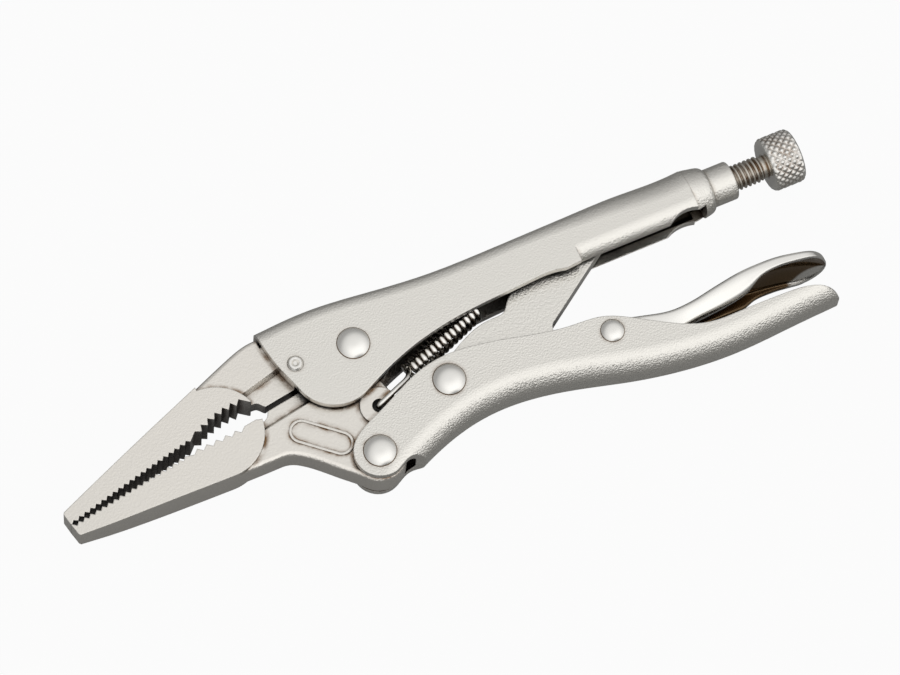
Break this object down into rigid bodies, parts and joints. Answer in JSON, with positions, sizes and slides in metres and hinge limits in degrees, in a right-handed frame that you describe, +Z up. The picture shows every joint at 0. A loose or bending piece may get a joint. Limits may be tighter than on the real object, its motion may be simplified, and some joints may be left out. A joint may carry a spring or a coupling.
{
  "type": "long-nose locking pliers",
  "caption": "Long-nose locking pliers with riveted jaws, curled sheet handles, toggle link, release lever, return spring and adjusting screw.",
  "frame": {"origin": "middle of the bounding box at its lowest point, the tool lying on its side", "axes": "+X back along the adjusting screw towards its knob, +Y from the moving handle to the fixed handle, +Z up out of the side of the tool"},
  "size_m": [0.169, 0.041, 0.016],
  "materials": {
    "satin_nickel": "fine sand-textured satin nickel",
    "ground_nickel": "nickel over ground and forged steel",
    "bright_nickel": "smooth bright nickel",
    "screw_steel": "dark plated steel",
    "knurled_nickel": "knurled nickel",
    "rivet_nickel": "semi-bright nickel",
    "spring_steel": "oiled spring steel"
  },
  "bodies": {
    "fixed_frame": {"upper_handle": "satin_nickel", "upper_jaw": "ground_nickel", "main_pivot_rivet": "rivet_nickel", "jaw_stake_pin": "rivet_nickel", "return_spring": "spring_steel"},
    "moving_jaw": {"lower_jaw": "ground_nickel"},
    "moving_handle": {"lower_handle": "satin_nickel", "jaw_handle_rivet": "rivet_nickel", "link_rivet": "rivet_nickel", "release_lever_rivet": "rivet_nickel"},
    "link": {"toggle_link": "satin_nickel"},
    "lever": {"release_lever": "bright_nickel"},
    "screw": {"adjusting_screw": "screw_steel"},
    "knob": {"adjusting_knob": "knurled_nickel"}
  },
  "joints": [
    {"name": "jaw_pivot", "type": "hinge", "parent": "fixed_frame", "child": "moving_jaw", "pos_m": [-0.0172, 0.0097, 0.008], "axis": [0, 0, 1], "range_deg": [0, 24.1], "deforming": ["return_spring"]},
    {"name": "handle_opening", "type": "hinge", "parent": "moving_jaw", "child": "moving_handle", "pos_m": [-0.0216, -0.0134, 0.008], "axis": [0, 0, 1], "range_deg": [-70, 0]},
    {"name": "link_pivot", "type": "hinge", "parent": "moving_handle", "child": "link", "pos_m": [-0.0026, -0.005, 0.008], "axis": [0, 0, 1], "range_deg": [0, 71.2]},
    {"name": "lever_pivot", "type": "hinge", "parent": "moving_handle", "child": "lever", "pos_m": [0.03205, -0.0085, 0.008], "axis": [0, 0, 1], "range_deg": [-5, 0]},
    {"name": "screw_travel", "type": "slide", "parent": "fixed_frame", "child": "screw", "axis": [1, 0, 0], "range_m": [0, 0.01]},
    {"name": "knob_turn", "type": "hinge", "parent": "screw", "child": "knob", "pos_m": [0.0808, 0.0137, 0.008], "axis": [1, 0, 0], "range_deg": [0, 2880]}
  ],
  "couplings": [
    {"joint": "jaw_pivot", "follows": "handle_opening", "ratio": -0.34286},
    {"joint": "link_pivot", "follows": "handle_opening", "ratio": -1.016},
    {"joint": "knob_turn", "follows": "screw_travel", "rad_per_m": 5026.5}
  ]
}
